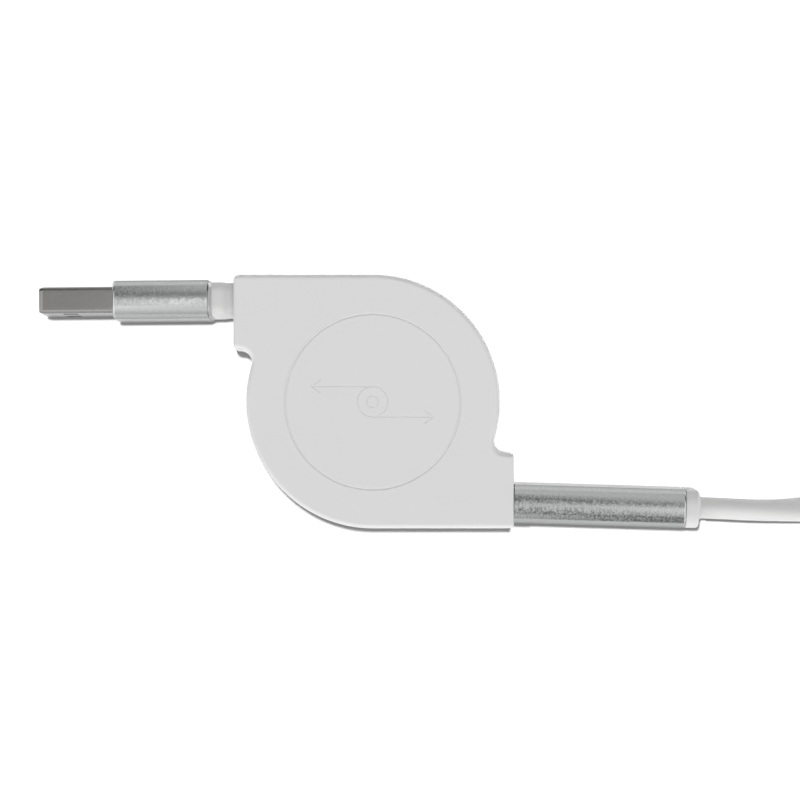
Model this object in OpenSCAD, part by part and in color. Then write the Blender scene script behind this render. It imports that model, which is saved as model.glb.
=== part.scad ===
// Retractable USB cable. A flat reel housing holds one flat cable, wound from its middle, so that
// both ends are drawn out at once: a USB-A plug on one side, and on the other a junction sleeve
// with a short oval tail lead and a USB-C plug.
// Millimetres. The axle is the Z axis, the back face lies on z = 0 and the front face looks up.
// The USB-A plug leaves towards -X along the top of the reel, the junction towards +X below it.

/* [Housing] */
// Diameter of the round reel housing at its parting line
reel_d = 44; // [40:0.5:60]
// Thickness of the housing, from back face to front face
housing_t = 16; // [15.8:0.1:20]
// Wall thickness of both covers
wall = 1.4; // [1:0.1:1.6]
// How far each ear reaches out past the side of the disc, along X
ear_out = 2.2; // [2:0.1:12]
// Height of each ear, along Y
ear_h = 13.3; // [13:0.1:15]
// Radius of the ear's outer corner
ear_corner_r = 1.2; // [0.9:0.05:1.6]
// Radius of the ear's inner corner, next to the disc
ear_inner_r = 1.2; // [0.9:0.05:1.25]
// Radius of the hollow blend between ear and disc
ear_blend_r = 1.9; // [1:0.1:3]
// Draft of the side walls, from the parting line to a face
side_draft = 0.36; // [0:0.02:0.5]
// Radius of the rounded edge of front and back face
edge_r = 0.7; // [0.3:0.05:1]
// Radius of the fine ring groove in the front face
ring_r = 15; // [10:0.1:17]
// Width of the ring groove
ring_w = 0.4; // [0.2:0.05:1]
// Depth of the ring groove
ring_depth = 0.2; // [0.1:0.05:0.5]

/* [Spool] */
// Radius of the hub that the cable is wound on
hub_r = 9; // [7:0.1:10]
// Radius of the axle post
axle_r = 2.2; // [1.6:0.1:2.6]
// Height of the winding space between the flanges
winding_h = 5.6; // [5.4:0.1:6.5]
// Thickness of the spool's flanges
flange_t = 1; // [0.8:0.1:1.3]
// Diameter of the latch ball
ball_d = 2; // [1.5:0.1:2.2]
// Whole and part turns that the spool makes when both ends are drawn out fully
turns_out = 3.5; // [1:0.5:3.5]

/* [Flat cable] */
// Width of the flat cable
ribbon_w = 5; // [4:0.1:5.2]
// Thickness of the flat cable
ribbon_t = 0.9; // [0.7:0.05:1]

/* [Mainspring] */
// Thickness of the spring strip
spring_t = 0.25; // [0.15:0.05:0.35]
// Number of turns of the spring
spring_turns = 9; // [5:1:12]

/* [Plug sleeves] */
// Width of both large aluminium sleeves, along Z
sleeve_w = 15.4; // [14.6:0.1:15.6]
// Thickness of both large aluminium sleeves, along Y
sleeve_t = 6.6; // [6.5:0.1:8]
// Corner radius of their cross-section
sleeve_r = 2.1; // [1:0.1:2.8]
// Wall of the aluminium sleeves
sleeve_wall = 0.55; // [0.45:0.05:0.6]
// Bevel round the ends of the sleeves
sleeve_bevel = 0.4; // [0.1:0.05:0.4]

/* [USB-A plug] */
// Length of the shell in front of the sleeve
shell_out = 12.7; // [11.5:0.1:16]
// Width of the shell
shell_w = 12; // [11.8:0.1:12.2]
// Thickness of the shell
shell_t = 4.5; // [4.4:0.1:4.7]
// Sheet thickness of the shell
shell_wall = 0.3; // [0.2:0.05:0.4]
// Length of the aluminium sleeve
plug_sleeve_len = 16.4; // [14:0.1:30]
// Length of the strain relief between sleeve and neck
relief_len = 3; // [2:0.1:12]
// Thickness of the strain relief
relief_t = 5.8; // [5.6:0.1:6]
// Gap between the ear and the shoulder of the strain relief when wound in
dock_gap = 1; // [0.3:0.1:3]
// Angle by which the docked plug leans down
plug_lean = 0.5; // [0:0.1:1]
// Angle by which the docked plug is turned about its own length
plug_roll = 2; // [0:0.1:2]

/* [Junction] */
// Length of the junction's aluminium sleeve
junction_len = 29.3; // [20:0.1:60]
// Gap between ear and junction sleeve when wound in
junction_gap = 0.2; // [0.2:0.1:3]
// Length of the end cap behind the sleeve
cap_len = 2.3; // [1.5:0.1:6]
// Thickness of the end cap, along Y
cap_t = 6.5; // [6.2:0.1:6.6]
// Angle by which the docked junction droops
junction_droop = 1.7; // [0:0.1:2]
// Angle by which the docked junction is turned about its own length
junction_roll = 1; // [0:0.1:1.5]

/* [Tail cable] */
// Wide side of the oval tail lead
tail_w = 5.2; // [4:0.1:6]
// Narrow side of the oval tail lead
tail_t = 3.7; // [3:0.1:3.8]

/* [USB-C plug] */
// Width of the plug's sleeve
device_w = 12.2; // [11:0.1:14]
// Thickness of the plug's sleeve
device_t = 6.4; // [5.6:0.1:6.5]
// Length of the plug's sleeve
device_len = 20; // [14:0.1:30]
// Length of the tapered boot behind the sleeve
boot_len = 9; // [6:0.1:20]
// Width of the steel shell
c_shell_w = 8.25; // [8.2:0.05:8.4]
// Thickness of the steel shell
c_shell_t = 2.4; // [2.3:0.05:2.6]
// Length of the steel shell in front of the sleeve
c_shell_out = 6.6; // [6.2:0.1:7]

/* [Hidden] */
$fn = 96;

// Clearances
fit = 0.05;        // between pieces that are pressed or glued together
run_gap = 0.1;     // between axle and bore
slack = 0.25;      // round a neck in its mouth
spool_gap = 0.4;   // between spool and covers
joint_gap = 0.1;   // at both ends of a flat lead

// Housing
reel_r = reel_d / 2;
ear_reach = reel_r + ear_out;
mid_z = housing_t / 2;
floor_z = wall;
roof_z = housing_t - wall;
ear_bottom = reel_r - ear_h;
arc_steps = 4;
disc_steps = 24;
ease_steps = 3;
seam_bevel = 0.12;
lip_t = 0.6;
lip_h = 0.8;
neck_t = relief_t - 0.2;
neck_w = 12;
neck_r = 1.4;
neck_in = 3.2;
mouth_t = neck_t + 2 * slack;
mouth_w = neck_w + 2 * slack;
mouth_y = reel_r - wall - 0.1 - mouth_t / 2;
guide_t = 1.1;
guide_y = mouth_y - mouth_t / 2 - 0.3;
pin_r = 1;
boss_r = 1.8;
pin_x = ear_reach - wall - boss_r - 0.4;
pin_y = (ear_bottom + wall + guide_y - guide_t) / 2;
pin_top = mid_z + 3;

// Spool, from the floor up
bore_r = axle_r + run_gap;
flange_r = reel_r - wall - 1;
track_z = floor_z + 0.6;
winding_z = mid_z - winding_h / 2;
winding_top = mid_z + winding_h / 2;
web_t = 1.3;
lane_w = ball_d + 0.3;
lane_pitch = lane_w + 0.5;
lane_r = hub_r + 3.2;
track_top = winding_z - web_t;
cup_r = flange_r - 3.6;
cup_wall = 1.3;
cup_z = winding_top + flange_t;
cup_top = roof_z - spool_gap;
lid_t = 0.6;
lid_seat = 0.6;

// Flat cable: two halves wound side by side, joined by a chord through the hub
bend_r = 1.6;
chord_y = bore_r + 0.9 + ribbon_t / 2;
inner_r = hub_r + ribbon_t / 2 + 0.2;
turn_step = 15;
a_angle = 180 - asin((chord_y - bend_r) / (inner_r - bend_r));
b_angle = asin((chord_y + bend_r) / (inner_r + 0.3 - bend_r));
whole_turns = floor((mouth_y - inner_r) / (2 * (ribbon_t + 0.08)) + (a_angle - 90) / 360);
a_sweep = 360 * whole_turns - (a_angle - 90);
turn_pitch = (mouth_y - inner_r) * 360 / a_sweep;
b_sweep = 360 * (whole_turns - 1) + 270 - b_angle;
winding_r = (mouth_y + inner_r) / 2;
travel = turns_out * 360 * PI / 180 * winding_r;

// USB-A plug, measured outwards from the ear's end face
relief_x = dock_gap;
sleeve_x = relief_x + relief_len;
shell_x = sleeve_x + plug_sleeve_len;
plug_end = shell_x + shell_out;
shell_in = 6;
flange_in = 2.8;
inner_w = sleeve_w - 2 * sleeve_wall;
inner_t = sleeve_t - 2 * sleeve_wall;
inner_r_sleeve = sleeve_r - sleeve_wall;
tongue_t = 1.84;
tongue_w = 11.1;
tongue_back = 0.6;
nose_taper = 0.2;
nose_len = 0.7;

// Junction, measured outwards from the other ear's end face
junction_end = junction_gap + junction_len;
cap_end = junction_end + cap_len;
collar_len = 0.7;
cap_in = 2;
cap_rim = 0.6;
board_t = 0.8;
board_w = 11;

// The tail lead's route, from the collar of the end cap to the boot of the plug. It leaves level
// with the junction, sinks to the table and lies there in one slow curve. Its points are measured
// from the ear's mouth along X and Y, and from the table along Z.
tail_reach = cap_end + collar_len;
tail_exit = [ear_reach + tail_reach * cos(junction_droop),
             -mouth_y - tail_reach * sin(junction_droop), mid_z];
tail_points = [
    [36.8, -1.15, 8], [40.8, -1.35, 7.8], [45.3, -1.45, 7.2], [49.8, -1.35, 6.3],
    [54.8, -1.05, 5.2], [59.8, -0.55, 4.1], [65.3, 0.05, 3.1], [70.8, 0.75, 2.4],
    [76.8, 1.45, 2], [83.8, 2.25, 1.9], [91.8, 2.95, 1.9], [99.8, 3.45, 1.9],
    [107.8, 3.85, 1.9], [114.8, 4.15, 2.2], [120.8, 4.35, 2.7], [125.8, 4.45, 3.1],
    [129.8, 4.55, 3.3]];
tail_route = concat([tail_exit], [for (p = tail_points) [ear_reach, -mouth_y, 0] + p]);
// The lead turns its wide side from upright to flat between these two places
twist_from = ear_reach + 39.8;
twist_to = ear_reach + 65.8;
tail_sides = 8;
device_at = tail_route[len(tail_route) - 1];
device_turn = 1.4;
boot_root_w = tail_w + 1.2;
boot_root_t = tail_t + 1.2;
c_wall = 0.2;
contact_pitch = 0.5;
boot_in = 2;

// Points of a circular arc about centre c, both ends included
function arc(c, r, from, to, steps) =
    [for (k = [0:steps]) let (a = from + (to - from) * k / steps) c + r * [cos(a), sin(a)]];

function turned(points) = [for (p = points) -p];

// Half of the housing's outline, set in by d: the ear at the upper left and the disc below it
function half_outline(d) =
    let (outer = max(ear_corner_r - d, 0.12), inner = max(ear_inner_r - d, 0.12),
         top = reel_r - d, side = ear_reach - d, low = ear_bottom + d,
         blend_y = ear_bottom - ear_blend_r,
         blend_x = -sqrt(pow(reel_r + ear_blend_r, 2) - pow(blend_y, 2)),
         touch = 180 - asin(blend_y / (reel_r + ear_blend_r)))
    concat(arc([outer - side, top - outer], outer, 90, 180, arc_steps),
           arc([inner - side, low + inner], inner, 180, 270, arc_steps),
           arc([blend_x, blend_y], ear_blend_r + d, 90, touch - 180, arc_steps),
           arc([0, 0], reel_r - d, touch, 270, disc_steps));

function outline(d) = concat(half_outline(d), turned(half_outline(d)));

// A closed solid through rings of points, each ring seen anticlockwise from the far end
module loft(rings) {
    n = len(rings[0]);
    last = len(rings) - 1;
    polyhedron(
        points = [for (ring = rings) for (p = ring) p],
        faces = concat(
            [[for (j = [0:n - 1]) j]],
            [[for (j = [n - 1:-1:0]) last * n + j]],
            [for (i = [0:last - 1]) for (j = [0:n - 1])
                [i * n + j, (i + 1) * n + j, (i + 1) * n + (j + 1) % n]],
            [for (i = [0:last - 1]) for (j = [0:n - 1])
                [i * n + j, (i + 1) * n + (j + 1) % n, i * n + (j + 1) % n]]));
}

// Rounded rectangle, a along the first axis and b along the second
function rounded(a, b, r, steps = 4) =
    concat(arc([a / 2 - r, b / 2 - r], r, 0, 90, steps),
           arc([r - a / 2, b / 2 - r], r, 90, 180, steps),
           arc([r - a / 2, r - b / 2], r, 180, 270, steps),
           arc([a / 2 - r, r - b / 2], r, 270, 360, steps));

// A bar along X through sections [x, thickness, width, corner radius]
module bar(sections, steps = 4) {
    loft([for (s = sections) [for (p = rounded(s[1], s[2], s[3], steps)) [s[0], p.x, p.y]]]);
}

// Sections of a bar from x0 to x1 whose ends are rounded by e0 and e1
function eased(x0, x1, t, w, r, e0, e1) = concat(
    e0 == 0 ? [[x0, t, w, r]] :
        [for (k = [0:ease_steps]) let (a = 90 * k / ease_steps, d = e0 * (1 - sin(a)))
            [x0 + e0 * (1 - cos(a)), t - 2 * d, w - 2 * d, r - d]],
    e1 == 0 ? [[x1, t, w, r]] :
        [for (k = [ease_steps:-1:0]) let (a = 90 * k / ease_steps, d = e1 * (1 - sin(a)))
            [x1 - e1 * (1 - cos(a)), t - 2 * d, w - 2 * d, r - d]]);

// A strip of thickness t and height h on edge, following a path in the XY plane
function side_of(path, i, t) =
    let (a = path[max(i - 1, 0)], b = path[min(i + 1, len(path) - 1)], d = b - a)
    path[i] + t / 2 * [-d.y, d.x] / norm(d);

module strip(path, t, z, h) {
    n = len(path);
    translate([0, 0, z]) linear_extrude(h)
        polygon(concat([for (i = [0:n - 1]) side_of(path, i, t)],
                       [for (i = [n - 1:-1:0]) side_of(path, i, -t)]));
}

// Both ears are alike, turned half round the axle
module both_ears() {
    children();
    rotate(180) children();
}

// Frames with +X pointing out of each ear, and out of the device plug
module plug_frame() {
    translate([-ear_reach, mouth_y, mid_z]) rotate(180 + plug_lean) rotate([plug_roll, 0, 0])
        children();
}

module junction_frame() {
    translate([ear_reach, -mouth_y, mid_z]) rotate(-junction_droop) rotate([junction_roll, 0, 0])
        children();
}

module device_frame() {
    translate(device_at) rotate(device_turn) children();
}

// Outer form of one cover, from the parting line at z = 0 up to its face. The loft runs a little
// past both ends and is cut flat there.
module cover_form() {
    face = housing_t / 2;
    steep = 90 - 90 / ease_steps;
    over = 0.1;
    reach = edge_r * cos(steep) * over / (edge_r * (1 - sin(steep)));
    intersection() {
        loft(concat(
            [[for (p = outline(2 * seam_bevel)) [p.x, p.y, -seam_bevel]]],
            [[for (p = outline(0)) [p.x, p.y, seam_bevel]]],
            [for (k = [0:ease_steps - 1])
                let (a = 90 * k / ease_steps, d = side_draft + edge_r * (1 - cos(a)))
                [for (p = outline(d)) [p.x, p.y, face - edge_r + edge_r * sin(a)]]],
            [[for (p = outline(side_draft + edge_r + reach)) [p.x, p.y, face + over]]]));
        translate([-2 * reel_d, -2 * reel_d, 0]) cube([4 * reel_d, 4 * reel_d, face]);
    }
}

// Inside of the housing seen from the front
module inside_outline() {
    circle(reel_r - wall);
    both_ears() translate([wall - ear_reach, ear_bottom + wall])
        square([ear_reach - wall, ear_h - 2 * wall]);
}

// The mouth in each ear's end wall
module mouths() {
    both_ears() translate([-ear_reach, mouth_y, mid_z])
        bar([[-2, mouth_t, mouth_w, neck_r + slack], [wall + 1, mouth_t, mouth_w, neck_r + slack]]);
}

// Rib that guides the neck and the lead inside each ear, from z up by h
module guide_ribs(z, h) {
    guide_end = sqrt(pow(flange_r + 0.4, 2) - pow(guide_y - guide_t, 2));
    both_ears() translate([0.2 - ear_reach + wall - 0.3, guide_y - guide_t, z])
        cube([ear_reach - wall + 0.1 - guide_end, guide_t, h]);
}

module pins(r, z, h) {
    both_ears() translate([-pin_x, pin_y, z]) cylinder(r = r, h = h);
}

module front_cover() color("gainsboro") difference() {
    union() {
        difference() {
            translate([0, 0, mid_z]) cover_form();
            translate([0, 0, mid_z - 1]) linear_extrude(roof_z - mid_z + 1) inside_outline();
        }
        guide_ribs(mid_z + lip_h + 0.2, roof_z - mid_z - lip_h);
        pins(boss_r, mid_z, roof_z - mid_z + 0.2);
        translate([0, 0, roof_z - 0.2]) difference() {
            cylinder(r = axle_r + 2, h = 0.4);
            translate([0, 0, -1]) cylinder(r = axle_r + 0.8, h = 2);
        }
    }
    // rebate for the back cover's lip
    translate([0, 0, mid_z - 1]) linear_extrude(lip_h + 1 + fit)
        difference() {
            polygon(outline(wall - lip_t - fit));
            both_ears() translate([-pin_x, pin_y]) circle(boss_r + fit);
        }
    mouths();
    pins(pin_r + fit, mid_z - 1, pin_top - mid_z + 1.2);
    translate([0, 0, roof_z - 1]) cylinder(r = axle_r + fit, h = 1.5 + fit);
    translate([0, 0, housing_t - ring_depth]) difference() {
        cylinder(r = ring_r + ring_w / 2, h = 1);
        translate([0, 0, -1]) cylinder(r = ring_r - ring_w / 2, h = 3);
    }
}

module back_cover() color("gainsboro") {
    difference() {
        union() {
            difference() {
                translate([0, 0, mid_z]) mirror([0, 0, 1]) cover_form();
                translate([0, 0, floor_z]) linear_extrude(mid_z) inside_outline();
            }
            // lip that centres the front cover
            translate([0, 0, mid_z - 0.5]) linear_extrude(lip_h + 0.5) difference() {
                polygon(outline(wall - lip_t));
                inside_outline();
                both_ears() translate([-pin_x, pin_y]) circle(boss_r + fit);
            }
            guide_ribs(floor_z - 0.2, mid_z - floor_z + 0.2);
            pins(boss_r, floor_z - 0.2, mid_z - floor_z + 0.2);
            pins(pin_r, mid_z - 1, pin_top - mid_z + 1);
            ball_cage();
        }
        mouths();
    }
    axle();
}

// Post that the spool turns on, split at the top to hold the spring's inner end
module axle() {
    difference() {
        translate([0, 0, floor_z - 0.2]) cylinder(r = axle_r, h = roof_z + 0.5 - floor_z + 0.2);
        translate([-axle_r - 1, -(spring_t + 0.2) / 2, cup_z]) cube([2 * axle_r + 2, spring_t + 0.2, 10]);
    }
}

// Low frame on the floor with the radial slot that the latch ball shifts in
module ball_cage() {
    slot = lane_pitch + ball_d + 0.1;
    translate([lane_r - ball_d / 2 - 0.05, 0, floor_z - 0.2]) difference() {
        translate([-1, -ball_d, 0]) cube([slot + 2, 2 * ball_d, 0.6]);
        translate([0, -ball_d / 2 - 0.05, -1]) cube([slot, ball_d + 0.1, 3]);
    }
}

module latch_ball() color("silver")
    translate([lane_r, 0, floor_z + ball_d / 2 + fit]) sphere(d = ball_d);

// Centre line of the wound flat cable: half a inwards, the chord through the hub, half b outwards
function wound(start, t) = (mouth_y - turn_pitch * t / 360) * [cos(start - t), sin(start - t)];
a_end = wound(90, a_sweep);
b_end = wound(270, b_sweep);
function half_a() = concat(
    [for (k = [0:floor(a_sweep / turn_step - 0.3)]) wound(90, k * turn_step)], [a_end]);
function half_b() = concat(
    [b_end], [for (k = [floor(b_sweep / turn_step - 0.3):-1:0]) wound(270, k * turn_step)]);
a_centre = a_end - bend_r * [cos(a_angle), sin(a_angle)];
b_centre = b_end - bend_r * [cos(b_angle), sin(b_angle)];
function chord() = concat(
    [for (k = [1:4]) let (a = a_angle + (90 - a_angle) * k / 4) a_centre + bend_r * [cos(a), sin(a)]],
    [for (k = [0:3]) let (a = -90 + (b_angle + 90) * k / 4) b_centre + bend_r * [cos(a), sin(a)]]);

module wound_cable() color("whitesmoke")
    strip(concat(half_a(), chord(), half_b()), ribbon_t, mid_z - ribbon_w / 2, ribbon_w);

module ring(r_in, r_out, z, h) {
    translate([0, 0, z]) difference() {
        cylinder(r = r_out, h = h);
        translate([0, 0, -1]) cylinder(r = r_in, h = h + 2);
    }
}

module spool() color("lightgray") difference() {
    union() {
        translate([0, 0, track_top]) cylinder(r = flange_r, h = web_t);
        translate([0, 0, track_z])
            cylinder(r = lane_r + lane_pitch + lane_w / 2 + 0.7, h = track_top - track_z + 0.2);
        translate([0, 0, winding_z - 0.2]) cylinder(r = hub_r, h = winding_h + 0.4);
        translate([0, 0, winding_top]) cylinder(r = flange_r, h = flange_t);
        ring(cup_r, cup_r + cup_wall, winding_top + 0.2, cup_top - winding_top - 0.2);
    }
    translate([0, 0, -1]) cylinder(r = bore_r, h = housing_t + 2);
    // the two lanes of the ball, with two gates between them
    ring(lane_r - lane_w / 2, lane_r + lane_w / 2, track_z - 1, ball_d - 0.3 + 1);
    ring(lane_r + lane_pitch - lane_w / 2, lane_r + lane_pitch + lane_w / 2, track_z - 1,
         ball_d - 0.3 + 1);
    for (a = [20, 200]) rotate(a) translate([lane_r, -lane_w * 0.7, track_z - 1])
        cube([lane_pitch, lane_w * 1.4, ball_d - 0.3 + 1]);
    // the underside is hollow inside the track
    ring(bore_r + 1.2, lane_r - lane_w / 2 - 0.7, track_z - 1, track_top - track_z + 0.2);
    // slot for the middle of the cable
    strip(concat([a_end + [-0.6, -2]], [a_end], chord(), [b_end], [b_end + [-1.6, 2]]),
          ribbon_t + 0.3, winding_z, winding_h);
    // seat of the lid
    translate([0, 0, cup_top - lid_t]) cylinder(r = cup_r + lid_seat, h = lid_t + 1);
}

module spring_lid() color("lightgray") difference() {
    translate([0, 0, cup_top - lid_t + fit]) cylinder(r = cup_r + lid_seat - fit, h = lid_t - fit);
    cylinder(r = axle_r + 0.8, h = housing_t);
}

// Most of the turns rest against the cup when the cable is wound in
module mainspring() color("slategray") {
    hook = 0.7;
    first = axle_r + run_gap + 0.5;
    last = cup_r - spring_t;
    steps = spring_turns * 20;
    strip(concat(
        [[-axle_r * 0.7, 0], [first - hook - 0.4, 0]],
        arc([first - hook, hook], hook, -90, -10, 4),
        [for (k = [0:steps]) let (u = k / steps, a = 24 + u * 360 * spring_turns,
                                  r = first + 0.1 + (last - first - 0.1) * pow(u, 0.62))
            r * [cos(a), sin(a)]]),
        spring_t, cup_z + 0.1, cup_top - lid_t - cup_z - 0.2);
}

// Flat leads from the winding to the necks
module flat_lead(lean) {
    neck_end = [-ear_reach + (neck_in + joint_gap) * cos(lean),
                mouth_y + (neck_in + joint_gap) * sin(lean)];
    strip([[-joint_gap, mouth_y], [-6, mouth_y], [-12, mouth_y], neck_end], ribbon_t,
          mid_z - ribbon_w / 2, ribbon_w);
}

module usb_a_lead() color("whitesmoke") flat_lead(plug_lean);

module junction_lead() color("whitesmoke") rotate(180) flat_lead(-junction_droop);

// Neck that slips into the mouth, up to x = end
module neck(end) {
    bar(eased(-neck_in, end, neck_t, neck_w, neck_r, 0.3, 0));
}

module usb_a_strain_relief() color("whitesmoke") plug_frame() {
    neck(relief_x + 0.1);
    bar(eased(relief_x, sleeve_x - 0.9, relief_t, neck_w + 1.4, neck_r + 0.4, 0.3, 0));
    bar([[sleeve_x - 1, relief_t, neck_w + 1.4, neck_r + 0.4],
         [sleeve_x, relief_t + 0.1, sleeve_w - 0.9, neck_r + 0.4]]);
    bar([[sleeve_x - 0.1, inner_t - 2 * fit, inner_w - 2 * fit, inner_r_sleeve],
         [sleeve_x + flange_in, inner_t - 2 * fit, inner_w - 2 * fit, inner_r_sleeve]]);
}

module usb_a_sleeve() color("silver") plug_frame() sleeve(sleeve_x, shell_x);

module sleeve(x0, x1) {
    difference() {
        bar(eased(x0, x1, sleeve_t, sleeve_w, sleeve_r, sleeve_bevel, sleeve_bevel), 6);
        bar([[x0 - 1, inner_t, inner_w, inner_r_sleeve], [x1 + 1, inner_t, inner_w, inner_r_sleeve]], 6);
    }
}

module usb_a_core() color("white") plug_frame() difference() {
    bar([[sleeve_x + flange_in, inner_t - 2 * fit, inner_w - 2 * fit, inner_r_sleeve],
         [shell_x - 0.3, inner_t - 2 * fit, inner_w - 2 * fit, inner_r_sleeve]]);
    translate([shell_x - shell_in, -shell_t / 2 - fit, -shell_w / 2 - fit])
        cube([shell_in + 1, shell_t + 2 * fit, shell_w + 2 * fit]);
}

// Folded steel shell, drawn in a little at the nose, with two latch windows in each wide side
module usb_a_shell() color("silver") plug_frame() difference() {
    bar([[shell_x - shell_in + fit, shell_t, shell_w, 0.6], [plug_end - nose_len, shell_t, shell_w, 0.6],
         [plug_end, shell_t - 2 * nose_taper, shell_w - 2 * nose_taper, 0.5]]);
    bar([[shell_x - shell_in - 1, shell_t - 2 * shell_wall, shell_w - 2 * shell_wall, 0.3],
         [plug_end - nose_len, shell_t - 2 * shell_wall, shell_w - 2 * shell_wall, 0.3],
         [plug_end + 1, shell_t - 2 * shell_wall - 3 * nose_taper,
          shell_w - 2 * shell_wall - 3 * nose_taper, 0.2]]);
    for (z = [-1, 1]) translate([plug_end - 6.4, -shell_t, z * 2.85 - 1.1])
        cube([2.5, 2 * shell_t, 2.2]);
}

module usb_a_tongue() color("white") plug_frame() {
    low = -shell_t / 2 + shell_wall + fit;
    translate([shell_x - shell_in + fit, low, -tongue_w / 2])
        cube([shell_in, shell_t - 2 * shell_wall - 2 * fit, tongue_w]);
    translate([shell_x, low, -tongue_w / 2])
        cube([shell_out - tongue_back - nose_len, tongue_t, tongue_w]);
}

// The two outer contacts reach further forward than the two inner ones
module usb_a_contacts() color("gold") plug_frame() {
    top = -shell_t / 2 + shell_wall + fit + tongue_t;
    for (z = [-3.5, -1, 1, 3.5]) {
        front = plug_end - tongue_back - nose_len - (abs(z) > 2 ? 0.5 : 1.5);
        translate([shell_x + fit, top, z - 0.5]) cube([front - shell_x, 0.25, 1]);
    }
}

module junction_nose() color("whitesmoke") junction_frame() {
    neck(junction_gap - 0.1);
    bar([[0, neck_t - 1, neck_w, neck_r - 0.4],
         [junction_gap + flange_in, inner_t - 2 * fit, inner_w - 2 * fit, inner_r_sleeve]]);
}

module junction_sleeve() color("silver") junction_frame() sleeve(junction_gap, junction_end);

module junction_core() color("white") junction_frame() difference() {
    bar([[junction_gap + flange_in, inner_t - 2 * fit, inner_w - 2 * fit, inner_r_sleeve],
         [junction_end - cap_in, inner_t - 2 * fit, inner_w - 2 * fit, inner_r_sleeve]]);
    translate([0, -board_t / 2 - fit, -board_w / 2 - fit])
        cube([junction_end, board_t + 2 * fit, board_w + 2 * fit]);
}

module splice_board() color("seagreen") junction_frame()
    translate([junction_gap + flange_in, -board_t / 2, -board_w / 2])
        cube([junction_len - flange_in - cap_in, board_t, board_w]);

// End cap with a rounded rim and a small collar round the lead
module junction_cap() color("whitesmoke") junction_frame() {
    bar([[junction_end - cap_in, inner_t - 2 * fit, inner_w - 2 * fit, inner_r_sleeve],
         [junction_end + 0.2, inner_t - 2 * fit, inner_w - 2 * fit, inner_r_sleeve]]);
    bar(eased(junction_end, cap_end, cap_t, sleeve_w - 0.4, sleeve_r, 0.1, cap_rim));
    bar([[cap_end - 0.2, tail_t + 1.2, tail_w + 1.2, tail_t / 2 + 0.4],
         [cap_end + collar_len, tail_t, tail_w, tail_t / 2 - 0.1]]);
}

// Oval tube along the route, turned from upright to flat between the twist's two ends
function smooth(u) = u <= 0 ? 0 : u >= 1 ? 1 : u * u * (3 - 2 * u);
function unit(v) = v / norm(v);
function tail_ring(i) =
    let (p = tail_route[i], last = len(tail_route) - 1,
         t = i == 0 ? [cos(junction_droop), -sin(junction_droop), 0] :
             i == last ? [cos(device_turn), sin(device_turn), 0] :
             unit(tail_route[i + 1] - tail_route[i - 1]),
         u = unit(cross([0, 0, 1], t)), v = cross(t, u),
         a = 90 * smooth((p.x - twist_from) / (twist_to - twist_from)),
         narrow = u * cos(a) + v * sin(a), wide = v * cos(a) - u * sin(a))
    [for (k = [0:tail_sides - 1]) let (f = 360 * k / tail_sides)
        p + narrow * tail_t / 2 * cos(f) + wide * tail_w / 2 * sin(f)];

module tail_cable() color("whitesmoke") loft([for (i = [0:len(tail_route) - 1]) tail_ring(i)]);

// A bar of the device plug lies flat: its wide side is turned into the XY plane
module flat_bar(sections, steps = 4) {
    rotate([90, 0, 0]) bar(sections, steps);
}

module device_boot() color("whitesmoke") device_frame() {
    flat_bar([
        [0, boot_root_t, boot_root_w, boot_root_t / 2 - 0.1],
        [boot_len * 0.55, boot_root_t + 0.3, boot_root_w + 0.7, boot_root_t / 2 - 0.1],
        [boot_len, device_t - 0.8, device_w - 1.6, 2.2]]);
    flat_bar([
        [boot_len - 0.1, device_t - 1.3, device_w - 1.3, 2],
        [boot_len + boot_in, device_t - 1.3, device_w - 1.3, 2]]);
}

module device_sleeve() color("silver") device_frame() difference() {
    flat_bar(eased(boot_len, boot_len + device_len, device_t, device_w, 2.6, sleeve_bevel,
                   sleeve_bevel), 6);
    flat_bar([[boot_len - 1, device_t - 1.2, device_w - 1.2, 2],
              [boot_len + device_len + 1, device_t - 1.2, device_w - 1.2, 2]], 6);
}

module device_core() color("white") device_frame() difference() {
    flat_bar([[boot_len + boot_in, device_t - 1.3, device_w - 1.3, 2],
              [boot_len + device_len - 0.3, device_t - 1.3, device_w - 1.3, 2]]);
    flat_bar([[boot_len + device_len - 5, c_shell_t + 0.1, c_shell_w + 0.1, c_shell_t / 2 - 0.02],
              [boot_len + device_len + 1, c_shell_t + 0.1, c_shell_w + 0.1, c_shell_t / 2 - 0.02]], 6);
}

module device_shell() color("silver") device_frame() difference() {
    start = boot_len + device_len - 5 + fit;
    end = boot_len + device_len + c_shell_out;
    flat_bar(eased(start, end, c_shell_t, c_shell_w, c_shell_t / 2 - 0.02, 0, 0.12), 6);
    flat_bar([[start - 1, c_shell_t - 2 * c_wall, c_shell_w - 2 * c_wall, c_shell_t / 2 - c_wall - 0.02],
              [end + 1, c_shell_t - 2 * c_wall, c_shell_w - 2 * c_wall, c_shell_t / 2 - c_wall - 0.02]], 6);
}

module device_insulator() color("dimgray") device_frame() difference() {
    start = boot_len + device_len - 5 + fit;
    end = boot_len + device_len + c_shell_out;
    t = c_shell_t - 2 * c_wall - 2 * fit;
    flat_bar([[start, t, c_shell_w - 2 * c_wall - 2 * fit, t / 2 - 0.02],
              [end - 0.3, t, c_shell_w - 2 * c_wall - 2 * fit, t / 2 - 0.02]], 6);
    translate([end - 5.5, -3.4, -0.45]) cube([8, 6.8, 0.9]);
}

module device_contacts() color("gold") device_frame()
    for (side = [-1, 1]) for (k = [0:11])
        translate([boot_len + device_len + c_shell_out - 4.8, (k - 5.5) * contact_pitch - 0.13,
                   side * 0.39 - 0.05]) cube([3.6, 0.26, 0.1]);

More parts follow.
